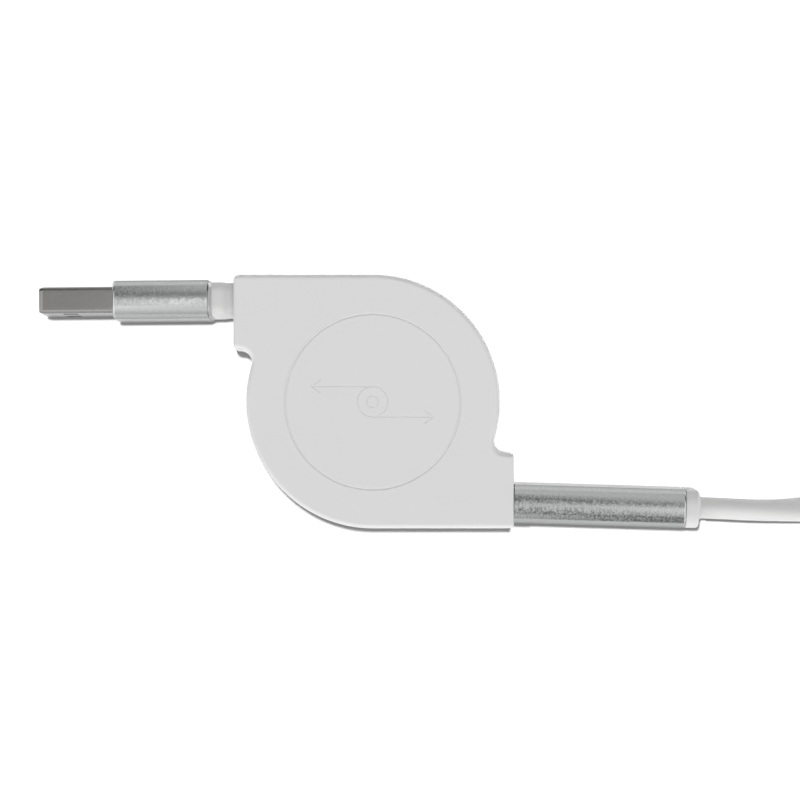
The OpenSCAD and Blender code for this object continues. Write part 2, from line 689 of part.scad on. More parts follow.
front_cover();
back_cover();
latch_ball();
spool();
spring_lid();
mainspring();
wound_cable();
usb_a_lead();
usb_a_strain_relief();
usb_a_sleeve();
usb_a_core();
usb_a_shell();
usb_a_tongue();
usb_a_contacts();
junction_lead();
junction_nose();
junction_sleeve();
junction_core();
splice_board();
junction_cap();
tail_cable();
device_boot();
device_sleeve();
device_core();
device_shell();
device_insulator();
device_contacts();
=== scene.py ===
# %% [markdown]
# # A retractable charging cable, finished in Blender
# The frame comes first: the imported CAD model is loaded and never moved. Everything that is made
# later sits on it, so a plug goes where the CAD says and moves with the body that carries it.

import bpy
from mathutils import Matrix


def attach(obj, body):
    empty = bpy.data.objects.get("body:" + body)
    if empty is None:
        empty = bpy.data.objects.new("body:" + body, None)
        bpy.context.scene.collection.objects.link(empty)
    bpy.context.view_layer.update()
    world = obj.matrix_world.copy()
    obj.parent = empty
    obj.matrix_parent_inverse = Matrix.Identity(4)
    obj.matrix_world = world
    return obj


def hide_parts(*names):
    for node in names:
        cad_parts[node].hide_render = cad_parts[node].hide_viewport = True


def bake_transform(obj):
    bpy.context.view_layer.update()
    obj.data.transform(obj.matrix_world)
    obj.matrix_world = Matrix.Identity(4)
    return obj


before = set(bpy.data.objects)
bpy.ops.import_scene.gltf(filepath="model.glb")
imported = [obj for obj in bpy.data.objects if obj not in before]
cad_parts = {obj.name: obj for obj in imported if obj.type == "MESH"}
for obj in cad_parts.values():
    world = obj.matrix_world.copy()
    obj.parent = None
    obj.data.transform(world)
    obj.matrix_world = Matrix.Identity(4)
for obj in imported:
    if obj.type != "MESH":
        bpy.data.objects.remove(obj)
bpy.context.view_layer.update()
print("CAD nodes:", len(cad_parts))

# %% [markdown]
# ## Units and places
# The drawing of this part is in millimetres, and Blender works in metres. Each plug was drawn
# along its own X axis, then leaned and rolled a little, as it hangs in its mouth. The same places
# are kept here as matrices, so that a piece can be modelled straight, in its own millimetres, and
# set down in its place at the end.

# %% Places of the housing and of the three plugs
import math

import bmesh
import bpy
from mathutils import Matrix, Vector

MM = 0.001
REEL_R = 22.0
EAR_REACH = 24.2
EAR_BOTTOM = 8.7
HOUSING_T = 16.0
MID_Z = 8.0
MOUTH_Y = 17.45


def place(x, y, z, turn=0.0, roll=0.0):
    """Matrix from a piece's own millimetres to metres in the model's frame."""
    return (
        Matrix.Scale(MM, 4)
        @ Matrix.Translation((x, y, z))
        @ Matrix.Rotation(math.radians(turn), 4, "Z")
        @ Matrix.Rotation(math.radians(roll), 4, "X")
    )


HOUSING = place(0, 0, 0)
UPSIDE_DOWN = place(0, 0, HOUSING_T, roll=180)
PLUG = place(-EAR_REACH, MOUTH_Y, MID_Z, turn=180.5, roll=2)
JUNCTION = place(EAR_REACH, -MOUTH_Y, MID_Z, turn=-1.7, roll=1)
DEVICE = place(154, -12.9, 3.3, turn=1.4, roll=90)
print("plug origin, metres:", tuple(round(v, 5) for v in PLUG.translation))

# %% [markdown]
# ## The camera
# The photograph looks straight down with a long lens: the inner side walls of both sleeves show as
# a narrow strip, which gives the height of the eye, about 55 cm above the middle of the cable. The
# picture is square and about 139 mm wide at that height. A camera without any turn looks down -Z
# with +Y at the top of the picture, so it only has to be put in its place.

# %% The camera
EYE_HEIGHT = 550.0
EYE_X, EYE_Y = 4.67, 0.26
VIEW_WIDTH = 138.8
SENSOR = 36
bpy.ops.object.camera_add(
    location=Vector((EYE_X, EYE_Y, MID_Z + EYE_HEIGHT)) * MM, rotation=(0, 0, 0)
)
camera = bpy.context.object
camera.name = "camera"
camera.data.sensor_width = SENSOR
camera.data.lens = SENSOR * EYE_HEIGHT / VIEW_WIDTH
camera.data.clip_start = 0.01
camera.data.clip_end = 50
bpy.context.scene.camera = camera
bpy.context.scene.view_settings.view_transform = "Standard"
print("lens, mm:", round(camera.data.lens, 1))

# %% [markdown]
# ## The oval lead
# Behind the junction the flat cable ends, and a thicker oval lead goes on to the small plug. It is
# the one free cord of this object. It leaves the cap level and upright, sinks to the table, turns
# over onto its flat side and lies there in one slow curve. The route repeats the points of the CAD
# drawing. A Bezier curve through these points is smooth, and an oval profile swept along it gives
# the tube. A tilt at each point turns the oval from upright to flat.

# %% The lead's route
TAIL_EXIT = (56.6857, -18.4142, 8.0)
TAIL_ROUTE = [
    TAIL_EXIT, (61, -18.6, 8), (65, -18.8, 7.8), (69.5, -18.9, 7.2), (74, -18.8, 6.3),
    (79, -18.5, 5.2), (84, -18, 4.1), (89.5, -17.4, 3.1), (95, -16.7, 2.4), (101, -16, 2),
    (108, -15.2, 1.9), (116, -14.5, 1.9), (124, -14, 1.9), (132, -13.6, 1.9), (139, -13.3, 2.2),
    (145, -13.1, 2.7), (150, -13, 3.1), (154, -12.9, 3.3),
]
TAIL_W, TAIL_T = 5.2, 3.7
TWIST = (64.0, 90.0)


# %% Sweep an oval along the route
def smoothstep(u):
    """0 below 0, 1 above 1, and an even change in between."""
    u = min(1.0, max(0.0, u))
    return u * u * (3 - 2 * u)


def swept(name, route, half_w, half_t, tilts):
    """A mesh tube with an oval section along a smooth curve through the route, in millimetres."""
    bpy.ops.object.select_all(action="DESELECT")
    bpy.ops.curve.primitive_bezier_circle_add(radius=1, location=(0, 0, 0))
    profile = bpy.context.object
    profile.scale = (half_t, half_w, 1)
    profile.data.resolution_u = 8
    bpy.ops.object.transform_apply(location=False, rotation=False, scale=True)
    bpy.ops.curve.primitive_bezier_curve_add(location=(0, 0, 0))
    tube = bpy.context.object
    tube.name = name
    tube.data.dimensions = "3D"
    tube.data.twist_mode = "Z_UP"
    tube.data.resolution_u = 8
    tube.data.bevel_mode = "OBJECT"
    tube.data.bevel_object = profile
    tube.data.use_fill_caps = True
    points = tube.data.splines[0].bezier_points
    points.add(len(route) - 2)
    for point, at, tilt in zip(points, route, tilts):
        point.co = at
        point.tilt = math.radians(tilt)
        point.handle_left_type = point.handle_right_type = "AUTO"
    bpy.ops.object.select_all(action="DESELECT")
    tube.select_set(True)
    bpy.context.view_layer.objects.active = tube
    bpy.ops.object.convert(target="MESH")
    bpy.data.objects.remove(profile)
    return tube


into_cap = (TAIL_EXIT[0] - 0.5, TAIL_EXIT[1] + 0.015, MID_Z)
into_boot = (155.2, -12.87, 3.3)
sweep_route = [into_cap] + TAIL_ROUTE + [into_boot]
tail = swept(
    "oval_lead",
    sweep_route,
    TAIL_W / 2,
    TAIL_T / 2,
    [90 * smoothstep((p[0] - TWIST[0]) / (TWIST[1] - TWIST[0])) for p in sweep_route],
)
ys = [v.co.y for v in tail.data.vertices if v.co.x < 60]
zs = [v.co.z for v in tail.data.vertices if v.co.x < 60]
print("lead at the cap, y by z mm:", round(max(ys) - min(ys), 2), round(max(zs) - min(zs), 2))

# %% [markdown]
# ## Bars, sleeves and shells
# Almost every plug piece is a bar along its own X axis with a rounded outline: a mould, a sleeve,
# a steel shell. One way of working serves them all. A filled circle is laid on the drawn outline,
# then its face is extruded and resized from section to section. A sleeve gets its end edges
# bevelled, its end faces inset by the wall, and the two inset faces bridged into a bore.

# %% Helpers for work in edit mode
def only(piece):
    """Selects this piece and nothing else."""
    bpy.ops.object.select_all(action="DESELECT")
    piece.select_set(True)
    bpy.context.view_layer.objects.active = piece


def edit(piece):
    """Opens a piece for work on its mesh, with nothing selected in it."""
    only(piece)
    bpy.ops.object.mode_set(mode="EDIT")
    bpy.ops.mesh.select_all(action="DESELECT")


def select(piece, kind, test):
    """Selects the faces or edges of an open piece that pass a test."""
    bpy.ops.mesh.select_mode(type=kind)
    bpy.ops.mesh.select_all(action="DESELECT")
    mesh = bmesh.from_edit_mesh(piece.data)
    for item in mesh.faces if kind == "FACE" else mesh.edges:
        if test(item):
            item.select_set(True)
    bmesh.update_edit_mesh(piece.data)


def at_x(x):
    """A test for edges and faces that lie in the plane of one x."""
    return lambda item: all(abs(v.co.x - x) < 1e-3 for v in item.verts)


def is_end(face):
    """True for the one big face that fills an outline."""
    return len(face.verts) > 20


def outward():
    """Closes the work on the open mesh: doubles are merged and faces turned outwards."""
    bpy.ops.mesh.select_mode(type="VERT")
    bpy.ops.mesh.select_all(action="SELECT")
    bpy.ops.mesh.remove_doubles(threshold=1e-4)
    bpy.ops.mesh.normals_make_consistent(inside=False)
    bpy.ops.object.mode_set(mode="OBJECT")


print("edit helpers: ready")


# %% A filled outline, and a bar that grows from it
def rounded(t, w, r, steps=8, crown=0.0):
    """Rounded rectangle, t thick and w wide.

    A crown lowers its narrow sides away from the middle.
    """
    splits = 6
    corners = []
    for cu, cv, start in ((1, 1, 0), (-1, 1, 90), (-1, -1, 180), (1, -1, 270)):
        corners.append([
            (cu * (t / 2 - r) + r * math.cos(a), cv * (w / 2 - r) + r * math.sin(a))
            for a in (math.radians(start + 90 * k / steps) for k in range(steps + 1))
        ])
    points = []
    for k, corner in enumerate(corners):
        points += corner
        if k % 2 == 0:
            (a, v), (b, _) = corner[-1], corners[k + 1][0]
            points += [(a + (b - a) * j / splits, v) for j in range(1, splits)]
    return [(u, v * (1 - crown * u * u)) for u, v in points]


def filled(name, points):
    """A filled circle whose vertices are laid on the given points. It stays open for work."""
    bpy.ops.object.select_all(action="DESELECT")
    bpy.ops.mesh.primitive_circle_add(
        vertices=len(points), fill_type="NGON", location=(0, 0, 0)
    )
    piece = bpy.context.object
    piece.name = name
    for vertex, point in zip(piece.data.vertices, points):
        vertex.co = point
    bpy.ops.object.mode_set(mode="EDIT")
    bpy.ops.mesh.select_mode(type="FACE")
    bpy.ops.mesh.select_all(action="SELECT")
    return piece


def bar(name, sections, r, crown=0.0, steps=8):
    """A bar along X through sections (x, thickness, width)."""
    x, t, w = sections[0]
    piece = filled(name, [(x, u, v) for u, v in rounded(t, w, r, steps, crown)])
    for next_x, next_t, next_w in sections[1:]:
        bpy.ops.mesh.extrude_region_move(
            TRANSFORM_OT_translate={"value": (next_x - x, 0, 0)}
        )
        bpy.ops.transform.resize(value=(1, next_t / t, next_w / w))
        x, t, w = next_x, next_t, next_w
    outward()
    return piece


def round_rims(piece, places, width, segments=4):
    """Bevels the edge loops of a bar at the given places along X."""
    edit(piece)
    for x in places:
        select(piece, "EDGE", at_x(x))
        bpy.ops.mesh.bevel(offset=width, segments=segments, profile=0.5, affect="EDGES")
    outward()


def sleeve(name, x0, x1, t, w, r, wall, rims, crown=0.0):
    """An open sleeve from x0 to x1 whose two ends are rounded by rims."""
    piece = bar(name, [(x0, t, w), (x1, t, w)], r, crown, steps=12)
    round_rims(piece, (x0,), rims[0])
    round_rims(piece, (x1,), rims[1])
    edit(piece)
    select(piece, "FACE", lambda f: is_end(f) and abs(f.normal.x) > 0.99)
    bpy.ops.mesh.inset(thickness=wall - max(rims), depth=0)
    bpy.ops.mesh.bridge_edge_loops()
    outward()
    return piece


print("points of a plug's outline:", len(rounded(5.0, 12.0, 1.5)))

# %% [markdown]
# A hole or a groove is cut with a boolean: the tool is modelled, subtracted and thrown away. The
# last step is the same for every piece. It is set down in its place, shaded smooth except at its
# crisp edges, given its finish and tied to its body, and the CAD nodes it stands for are hidden.

# %% Cutting, and setting down
def cut(piece, *tools):
    """Subtracts each tool from the piece and throws it away."""
    for tool in tools:
        only(piece)
        modifier = piece.modifiers.new("cut", "BOOLEAN")
        modifier.operation = "DIFFERENCE"
        modifier.solver = "EXACT"
        modifier.object = tool
        bpy.ops.object.modifier_apply(modifier="cut")
        bpy.data.objects.remove(tool)
    return piece


def block(size, at):
    """A block to cut with."""
    bpy.ops.mesh.primitive_cube_add(size=1, location=at, scale=size)
    return bpy.context.object


def soften(piece, width, angle=40.0, segments=2):
    """Breaks every crisp edge of a piece a little."""
    only(piece)
    modifier = piece.modifiers.new("soften", "BEVEL")
    modifier.width = width
    modifier.segments = segments
    modifier.limit_method = "ANGLE"
    modifier.angle_limit = math.radians(angle)
    bpy.ops.object.modifier_apply(modifier="soften")


def set_down(piece, where, body, finish, nodes, angle=35.0):
    """Puts a piece in its place in the frame, with its finish, on its body."""
    only(piece)
    piece.matrix_world = where
    bpy.ops.object.transform_apply(location=True, rotation=True, scale=True)
    bpy.ops.object.shade_smooth_by_angle(angle=math.radians(angle))
    modifier = piece.modifiers.new("even", "WEIGHTED_NORMAL")
    modifier.keep_sharp = True
    bpy.ops.object.modifier_apply(modifier="even")
    if not piece.data.materials:
        piece.data.materials.append(finish)
    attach(piece, body)
    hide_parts(*nodes)
    print(f"{piece.name}: {len(piece.data.polygons)} faces on {body}")


print("cutting and setting down: ready")

# %% [markdown]
# ## Materials: one class for maths, one method for nodes
# A finish is a small network of nodes. Arithmetic in it is written as plain Python, because a
# class that wraps a socket can give meaning to +, -, * and /. Every other node comes from one
# method that takes its kind, its settings and what goes into its sockets.

# %% Shader maths and nodes
class Value:
    """A socket whose arithmetic adds Math nodes."""

    def __init__(self, nodes, socket):
        self.nodes, self.socket = nodes, socket

    def maths(self, operation, *others, first=None):
        operands = (self,) + others if first is None else (first, self)
        return self.nodes.add("Math", {"operation": operation}, dict(enumerate(operands)))

    def out(self, name):
        """Another output of the same node."""
        return Value(self.nodes, self.socket.node.outputs[name])

    def __add__(self, other):
        return self.maths("ADD", other)

    def __sub__(self, other):
        return self.maths("SUBTRACT", other)

    def __mul__(self, other):
        return self.maths("MULTIPLY", other)

    def __truediv__(self, other):
        return self.maths("DIVIDE", other)

    def __rsub__(self, other):
        return self.maths("SUBTRACT", first=other)

    def __abs__(self):
        return self.maths("ABSOLUTE")

    __radd__ = __add__
    __rmul__ = __mul__

    def between(self, low, high):
        """0 at low, 1 at high, clamped and eased."""
        return self.nodes.add(
            "MapRange",
            {"interpolation_type": "SMOOTHSTEP"},
            {"Value": self, "From Min": low, "From Max": high},
        )


class Nodes:
    """One node tree."""

    def __init__(self, tree):
        self.tree = tree
        tree.nodes.clear()

    def add(self, kind, settings=None, sockets=None, out=0):
        node = self.tree.nodes.new("ShaderNode" + kind)
        for key, value in (settings or {}).items():
            if key == "stops":
                ends = node.color_ramp.elements
                ends[0].position, ends[0].color = value[0][0], [value[0][1]] * 3 + [1]
                ends[1].position, ends[1].color = value[-1][0], [value[-1][1]] * 3 + [1]
                for at, level in value[1:-1]:
                    ends.new(at).color = [level] * 3 + [1]
            else:
                setattr(node, key, value)
        for key, value in (sockets or {}).items():
            if isinstance(value, Value):
                self.tree.links.new(value.socket, node.inputs[key])
            else:
                node.inputs[key].default_value = value
        return Value(self, node.outputs[out]) if len(node.outputs) else None


print("nodes: ready")

# %% [markdown]
# ## The studio
# The cable lies on a pale floor. The photograph has a white ground with only a thin dark line along
# the lower edges, which is the shadow of a small lamp almost overhead. A sun that lights the floor
# alone gives that line and keeps the pieces free of hard light. The line is thinner under the
# USB-A plug and reaches further right under the junction's cap, so the two sheets of floor there
# have suns of their own. The floor's colour is dark and the suns on it strong, so that the room
# can't fill the shadow, and a little light of its own keeps the shadow grey.

# %% Floor and its lamps
FLOOR_COLOUR = 0.1
FLOOR_GLOW = 0.15
SUN_ENERGY = 28.5
SUN_ANGLE = 2
ground = bpy.data.materials.new("pale_floor")
ground.use_nodes = True
g = Nodes(ground.node_tree)
matt = g.add("BsdfDiffuse", {}, {"Color": (FLOOR_COLOUR, FLOOR_COLOUR, FLOOR_COLOUR, 1)})
glow = g.add("Emission", {}, {"Color": (1, 1, 1, 1), "Strength": FLOOR_GLOW})
g.add("OutputMaterial", {}, {"Surface": g.add("AddShader", {}, {0: matt, 1: glow})})


def lit_sheet(name, size, at, tilt, turn=0):
    """A sheet of the pale floor with a sun of its own, so many degrees away from overhead."""
    bpy.ops.mesh.primitive_plane_add(size=1, location=[c * MM for c in at])
    sheet = bpy.context.object
    sheet.name = name
    sheet.scale = (size[0] * MM, size[1] * MM, 1)
    sheet.data.materials.append(ground)
    bpy.ops.object.light_add(
        type="SUN", location=(0, 0, 1), rotation=(math.radians(tilt), math.radians(turn), 0)
    )
    sun = bpy.context.object
    sun.name = name + "_sun"
    sun.data.energy = SUN_ENERGY
    sun.data.angle = math.radians(SUN_ANGLE)
    lit = bpy.data.collections.new("lit_by_" + sun.name)
    lit.objects.link(sheet)
    sun.light_linking.receiver_collection = lit


lit_sheet("floor", (12000, 12000), (0, 0, -0.03), -5.2)
lit_sheet("plug_floor", (76, 60), (-62, 32, -0.015), -3.6)
lit_sheet("junction_floor", (31, 40), (43, -25, -0.015), -4.8, -6)
print("floor brightness:", round(FLOOR_COLOUR * SUN_ENERGY / math.pi + FLOOR_GLOW, 3))

# %% [markdown]
# The pieces themselves are lit by the room alone, as in a light tent. Away from the picture's
# upright middle plane the room is one soft gradient, brighter overhead and towards the lower side
# of the picture. In that plane, which the long sleeves mirror, it holds the bands that satin metal
# shows: bright from overhead towards the lower side, and dark right beside it on the upper side.
# The room was fitted to one photograph, so it isn't a measured light.

# %% The room
ROOM_LEVEL = 1.3
SOFT_LEVEL, SOFT_UP, SOFT_SIDE, SOFT_TOP = 0.55, 0.95, 1.9, 1.28
# angle from overhead towards -Y in degrees, and how bright the room is there
BANDS = [
    (-180, 1.0), (-90, 0.9), (-76, 0.93), (-51, 0.95), (-25, 0.92), (-17, 0.82), (-12, 0.6),
    (-8, 0.56), (-5, 0.82), (-1.5, 1.65), (1.5, 2.0), (7, 2.0), (11, 1.68), (25, 1.45), (43, 1.38),
    (74, 1.02), (90, 0.82), (180, 0.95),
]
ARM_TURN = 53  # degrees by which the bands lean for each unit of x
room = bpy.data.worlds.new("room")
room.use_nodes = True
bpy.context.scene.world = room
r = Nodes(room.node_tree)
x = r.add("SeparateXYZ", {}, {0: r.add("TexCoord", out="Generated")}, out="X")
y, z = x.out("Y"), x.out("Z")
soft = (SOFT_LEVEL + SOFT_UP * z - SOFT_SIDE * y).maths("MAXIMUM", 0.05)
soft = soft.maths("MINIMUM", SOFT_TOP)
lean = (0 - y).maths("ARCTAN2", z) * (180 / math.pi)
stops = [(angle / 360 + 0.5, level / 2) for angle, level in BANDS]
band = 2 * r.add("ValToRGB", {"stops": stops}, {0: (lean - ARM_TURN * x) / 360 + 0.5})
# the camera's own dark reflection lies at the middle of the overhead
overhead = abs(lean).between(58, 22)
beside = (0.25 + 8.5 * abs(x - 0.018)).maths("MINIMUM", 1.1)
band = band * (1 - overhead * (1 - beside))
# the lower right of the overhead is dimmer, where no panel stands
dim = x.between(0.0, 0.04) * x.between(0.3, 0.15) * lean.between(2, 12) * lean.between(95, 80)
band = band * (1 - (0.36 + 0.4 * lean.between(12, 42)) * dim)
# far to the left the room is open, and the flat steel shell mirrors that dark gap
gap = x.between(-0.083, -0.095) * x.between(-0.35, -0.25) * lean.between(14, 4)
band = band * (1 - 0.7 * gap * lean.between(-90, -70))
middle = abs(x).between(0.26, 0.14)
level = ROOM_LEVEL * (soft + middle * (band - soft))
r.add("OutputWorld", {}, {0: r.add("Background", {}, {"Strength": level})})
print("room bands:", len(BANDS))


# %% [markdown]
# ## The finishes
# Most of what shows is either moulded or blasted. Moulded plastic takes the fine grain of its
# tool, so its bump and roughness come from a noise of a tenth of a millimetre, and its tone
# drifts very slightly over some millimetres. Blasted aluminium is a metal with a coarser grain of
# small pits, each of which catches the light in its own way. Drawn steel has fine lines along the
# way it was drawn.

# %% A finish, and how a moulded one is made
class Finish(Nodes):
    """A material that ends in one Principled shader."""

    def __init__(self, name):
        self.material = bpy.data.materials.new(name)
        self.material.use_nodes = True
        super().__init__(self.material.node_tree)
        self.where = self.add("TexCoord", out="Object")

    def noise(self, size, detail=2.0, stretch=(1, 1, 1), shift=0.0):
        """Noise whose spots are about size millimetres across, stretched along the axes."""
        at = self.add(
            "Mapping",
            {},
            {
                "Vector": self.where,
                "Location": (shift, shift, shift),
                "Scale": [1 / (size * MM * s) for s in stretch],
            },
        )
        return self.add("TexNoise", {}, {"Vector": at, "Scale": 1.0, "Detail": detail})

    def tint(self, share, a, b):
        """Colour a where share is 0, colour b where it is 1."""
        sockets = {0: share, 6: (*a, 1), 7: (*b, 1)}
        return self.add("Mix", {"data_type": "RGBA"}, sockets, out=2)

    def bump(self, height, depth):
        """A bump of depth millimetres."""
        return self.add("Bump", {}, {"Strength": 1.0, "Distance": depth * MM, "Height": height})

    def end(self, **sockets):
        names = {key.replace("_", " "): value for key, value in sockets.items()}
        self.add("OutputMaterial", {}, {0: self.add("BsdfPrincipled", {}, names)})
        return self.material


def moulded(name, colour, roughness, grain=0.12, depth=0.004, drift=0.02):
    """Plastic with the fine grain of its mould."""
    f = Finish(name)
    pits = f.noise(grain, detail=3)
    clouds = f.noise(7.0, detail=2, shift=3.1)
    rubbed = f.noise(1.6, detail=4, shift=7.7).between(0.56, 0.74)
    shade = [c * (1 - drift) for c in colour]
    return f.end(
        Base_Color=f.tint(clouds, shade, colour),
        Roughness=roughness + 0.10 * (pits - 0.5) - 0.05 * rubbed,
        Normal=f.bump(pits, depth),
        Specular_IOR_Level=0.4,
    )


housing_plastic = moulded("housing_plastic", (0.755, 0.755, 0.755), 0.5)
white_mould = moulded("white_mould", (0.70, 0.70, 0.695), 0.56, grain=0.1, depth=0.003)
tail_jacket = moulded("tail_jacket", (0.71, 0.71, 0.705), 0.52, grain=0.16, depth=0.003)
flat_jacket = moulded("flat_jacket", (0.69, 0.69, 0.685), 0.6, grain=0.09)
spool_plastic = moulded("spool_plastic", (0.55, 0.55, 0.54), 0.45, grain=0.2)
insulator = moulded("insulator_black", (0.02, 0.02, 0.022), 0.45, drift=0.15)
tongue_white = moulded("tongue_white", (0.62, 0.62, 0.60), 0.4)
print("moulded finishes: 7")


# %% [markdown]
# The metals share one recipe: a grain that changes tone, roughness and bump together, and streaks
# that are stretched along one axis. Only the numbers differ between blasted aluminium, the
# turned-down shine of its ends, rolled steel, spring steel and gold. One bright metal is painted
# shade: it goes on the white mould's collar inside the large sleeve's end, so that the collar
# renders darker there.

# %% The metals
def metal(name, colour, roughness, grain, depth, tone=0.08, streaks=0.04):
    """Metal with a grain of pits and fine streaks."""
    f = Finish(name)
    pits = f.noise(grain, detail=2).between(0.3, 0.72)
    lines = f.noise(0.06, detail=3, stretch=(30, 1, 1), shift=2.3)
    dull = f.noise(2.5, detail=3, shift=5.9)
    low = [c * (1 - tone) for c in colour]
    high = [min(1.0, c * (1 + tone)) for c in colour]
    return f.end(
        Base_Color=f.tint(pits * 0.7 + lines * 0.3, low, high),
        Metallic=1.0,
        Roughness=roughness + 0.16 * (pits - 0.5) + streaks * (lines - 0.5) + 0.04 * (dull - 0.5),
        Normal=f.bump(pits + streaks * lines, depth),
        Specular_Tint=(0.5, 0.5, 0.5, 1),
    )


aluminium = metal("blasted_aluminium", (0.425, 0.435, 0.43), 0.15, 0.36, 0.0025, tone=0.1)
cut_rim = metal("bright_rim", (0.56, 0.57, 0.565), 0.16, 0.08, 0.001, tone=0.03)
# painted shade: this bright metal goes on the white plastic collar of the large plug's mould, so
# that the collar renders as dark as a band in shade
turned_lip = metal("turned_lip", (0.68, 0.69, 0.685), 0.3, 0.1, 0.001, tone=0.04)
shell_steel = metal("shell_steel", (0.272, 0.268, 0.26), 0.15, 0.12, 0.001, streaks=0.3)
spring_steel = metal("spring_steel", (0.38, 0.40, 0.43), 0.24, 0.15, 0.001, streaks=0.25)
ball_steel = metal("ball_steel", (0.72, 0.72, 0.71), 0.1, 0.1, 0.0005, tone=0.02)
gold = metal("contact_gold", (0.88, 0.66, 0.30), 0.22, 0.1, 0.0008, streaks=0.3)
print("metals: 7")

# %% [markdown]
# The splice board inside the junction is green lacquer over copper. Its tracks are a regular grid
# of lines, a touch lighter, a quarter of a millimetre wide.

# %% Board lacquer
TRACK_PITCH = 1.1
f = Finish("board_green")
across = f.add("SeparateXYZ", {}, {0: f.where}, out="Z")
track = abs((across / (TRACK_PITCH * MM)).maths("FRACT") - 0.5).between(0.13, 0.10)
cloud = f.noise(1.2, detail=3)
board_green = f.end(
    Base_Color=f.tint(track * 0.7 + cloud * 0.3, (0.01, 0.12, 0.05), (0.04, 0.26, 0.12)),
    Roughness=0.3 + 0.1 * cloud,
    Normal=f.bump(track, 0.03),
)
print("board lacquer: made")

# %% [markdown]
# ## The small plug at the far end
# It lies past the edge of the picture and is built as such plugs are: a tapered boot, a short
# aluminium sleeve and a flat steel shell with half-round sides. It lies on its flat side, so its
# place has a quarter roll about its own axis.

# %% Boot, sleeve and shell of the small plug
boot = bar(
    "small_plug_boot",
    [(0, 4.9, 6.4), (4.95, 5.2, 7.1), (9.0, 5.6, 10.6), (9.0, 5.1, 10.9), (11.0, 5.1, 10.9)],
    r=2.35,
)
round_rims(boot, (0,), 0.5)
set_down(boot, DEVICE, "junction", white_mould, ["device_boot"])

small_sleeve = sleeve("small_plug_sleeve", 9.0, 29.0, 6.4, 12.2, 2.6, 0.6, (0.4, 0.4))
set_down(small_sleeve, DEVICE, "junction", aluminium, ["device_sleeve"])


def steel_shell(name, x0, x1, t, w, r, wall, nose):
    """A shell that is open at its front, drawn in a little round its mouth."""
    taper = 0.4 if nose else 0.0
    back_wall = 0.5
    sections = [(x0, t, w)] + ([(x1 - nose, t, w)] if nose else [])
    piece = bar(name, sections + [(x1, t - taper, w - taper)], r, steps=10)
    edit(piece)
    select(piece, "FACE", lambda f: is_end(f) and f.normal.x > 0.99)
    bpy.ops.mesh.inset(thickness=wall, depth=0)
    bpy.ops.mesh.extrude_region_move(
        TRANSFORM_OT_translate={"value": (x0 - x1 + back_wall, 0, 0)}
    )
    outward()
    return piece


small_shell = steel_shell("small_plug_shell", 24.05, 35.6, 2.4, 8.25, 1.18, 0.2, 0)
soften(small_shell, 0.05)
set_down(small_shell, DEVICE, "junction", shell_steel, ["device_shell"])

# %% [markdown]
# With its plug made, the lead is set down and goes with the junction. The photograph shows only
# its first stretch, so its length up to the small plug is a guess.

set_down(tail, HOUSING, "junction", tail_jacket, ["tail_cable"], angle=60)

# %% [markdown]
# ## The reel housing
# Two shallow covers meet at the middle of the edge. Each is a disc with two square ears, whose
# outer corners are rounded and whose inner corners flow into the disc. The outline is a row of
# arcs, so a filled circle is laid on those arcs, and the inset tool with a depth raises the sloping
# wall and then, in small steps, the rounded edge of the face. This keeps the wall's slope the same
# all the way round, which a plain resize can't do at the ears. The covers are plain shells here:
# the axle, pins, ribs, ball cage and lip that the CAD covers have inside are left out.


# %% The outline of the housing
def arc(cx, cy, r, start, stop, steps):
    """Points on an arc, with both its ends."""
    angles = (math.radians(start + (stop - start) * k / steps) for k in range(steps + 1))
    return [(cx + r * math.cos(a), cy + r * math.sin(a)) for a in angles]


def housing_outline(flip=1):
    """The disc with its two ears, seen from the front. flip -1 is the mirror image."""
    corner, blend = 1.2, 1.9
    blend_y = EAR_BOTTOM - blend
    blend_x = -math.sqrt((REEL_R + blend) ** 2 - blend_y**2)
    touch = 180 - math.degrees(math.asin(blend_y / (REEL_R + blend)))
    half = (
        arc(corner - EAR_REACH, REEL_R - corner, corner, 90, 180, 10)
        + arc(corner - EAR_REACH, EAR_BOTTOM + corner, corner, 180, 270, 10)
        + arc(blend_x, blend_y, blend, 90, touch - 180, 12)
        + arc(0, 0, REEL_R, touch, 270, 72)
    )
    whole = half + [(-px, -py) for px, py in half]
    return [(px, flip * py) for px, py in whole][::flip]


